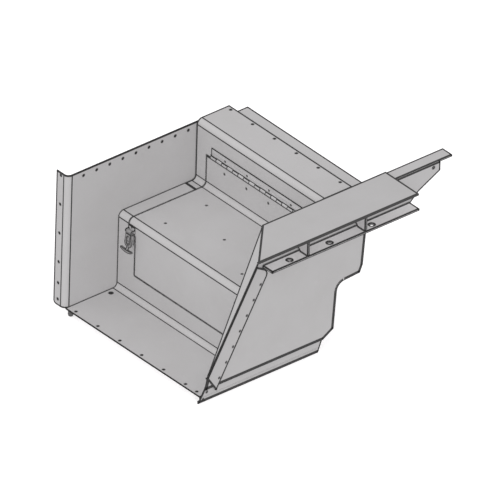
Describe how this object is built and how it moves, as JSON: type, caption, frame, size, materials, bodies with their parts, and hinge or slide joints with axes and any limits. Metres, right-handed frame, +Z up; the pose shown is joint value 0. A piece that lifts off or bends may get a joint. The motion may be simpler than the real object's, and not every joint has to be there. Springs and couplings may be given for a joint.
{
  "type": "sheet-metal step well",
  "caption": "Folded sheet-metal step well: walled floor, raised box with a hinged, latched access cover, riveted sloping post and a welded side rail with a top plate.",
  "frame": {"origin": "centre of the bounding box's bottom face, at the height of the sill's lower edge and the feet", "axes": "+X across the well from the left wall to the rail, +Y to the back along the rail, +Z up"},
  "size_m": [0.7826, 0.978, 0.5009],
  "materials": {
    "painted_sheet": "satin grey paint on folded sheet",
    "painted_plate": "satin grey paint on hot-rolled plate",
    "plated_steel": "dull zinc plate",
    "rivets": "dull domed heads",
    "black_rubber": "moulded, matt",
    "felt": "dense felt"
  },
  "bodies": {
    "well": {"left_side_wall": "painted_sheet", "floor_riser_panel": "painted_sheet", "rear_panel": "painted_sheet", "rear_lap_strip": "painted_sheet", "right_side_wall": "painted_sheet", "sill_angle": "painted_sheet", "corner_post": "painted_sheet", "rail_web": "painted_plate", "rail_top_flange": "painted_plate", "rail_lower_flange": "painted_plate", "rail_top_plate": "painted_plate", "rail_gussets": "painted_plate", "frame_rail_left": "painted_sheet", "frame_rail_right": "painted_sheet", "frame_rail_bottom": "painted_sheet", "cover_seal": "black_rubber", "hinge_upper_leaf": "plated_steel", "hinge_pin": "plated_steel", "hinge_frame_rivets": "rivets", "corner_post_rivets": "rivets", "wall_insert_nuts": "plated_steel", "flange_insert_nuts": "plated_steel", "floor_insert_nuts": "plated_steel", "rear_insert_nuts": "plated_steel", "drain_spigot": "plated_steel", "latch_keeper": "plated_steel", "keeper_rivets": "rivets", "bumper_feet": "black_rubber"},
    "cover": {"access_cover": "painted_sheet", "hinge_lower_leaf": "plated_steel", "hinge_cover_rivets": "rivets", "cover_backing_pad": "felt", "pad_fasteners": "rivets", "pad_washers": "plated_steel", "latch_bracket": "plated_steel", "latch_pin": "plated_steel", "bracket_rivet": "rivets"},
    "latch": {"latch_strap": "black_rubber"}
  },
  "joints": [
    {"name": "cover_hinge", "type": "hinge", "parent": "well", "child": "cover", "pos_m": [-0.02625, 0.0145, 0.397], "axis": [-1, 0, 0], "range_deg": [0, 165]},
    {"name": "latch_swing", "type": "hinge", "parent": "cover", "child": "latch", "pos_m": [-0.27625, -0.292, 0.25], "axis": [-1, 0, 0], "range_deg": [0, 110]}
  ]
}
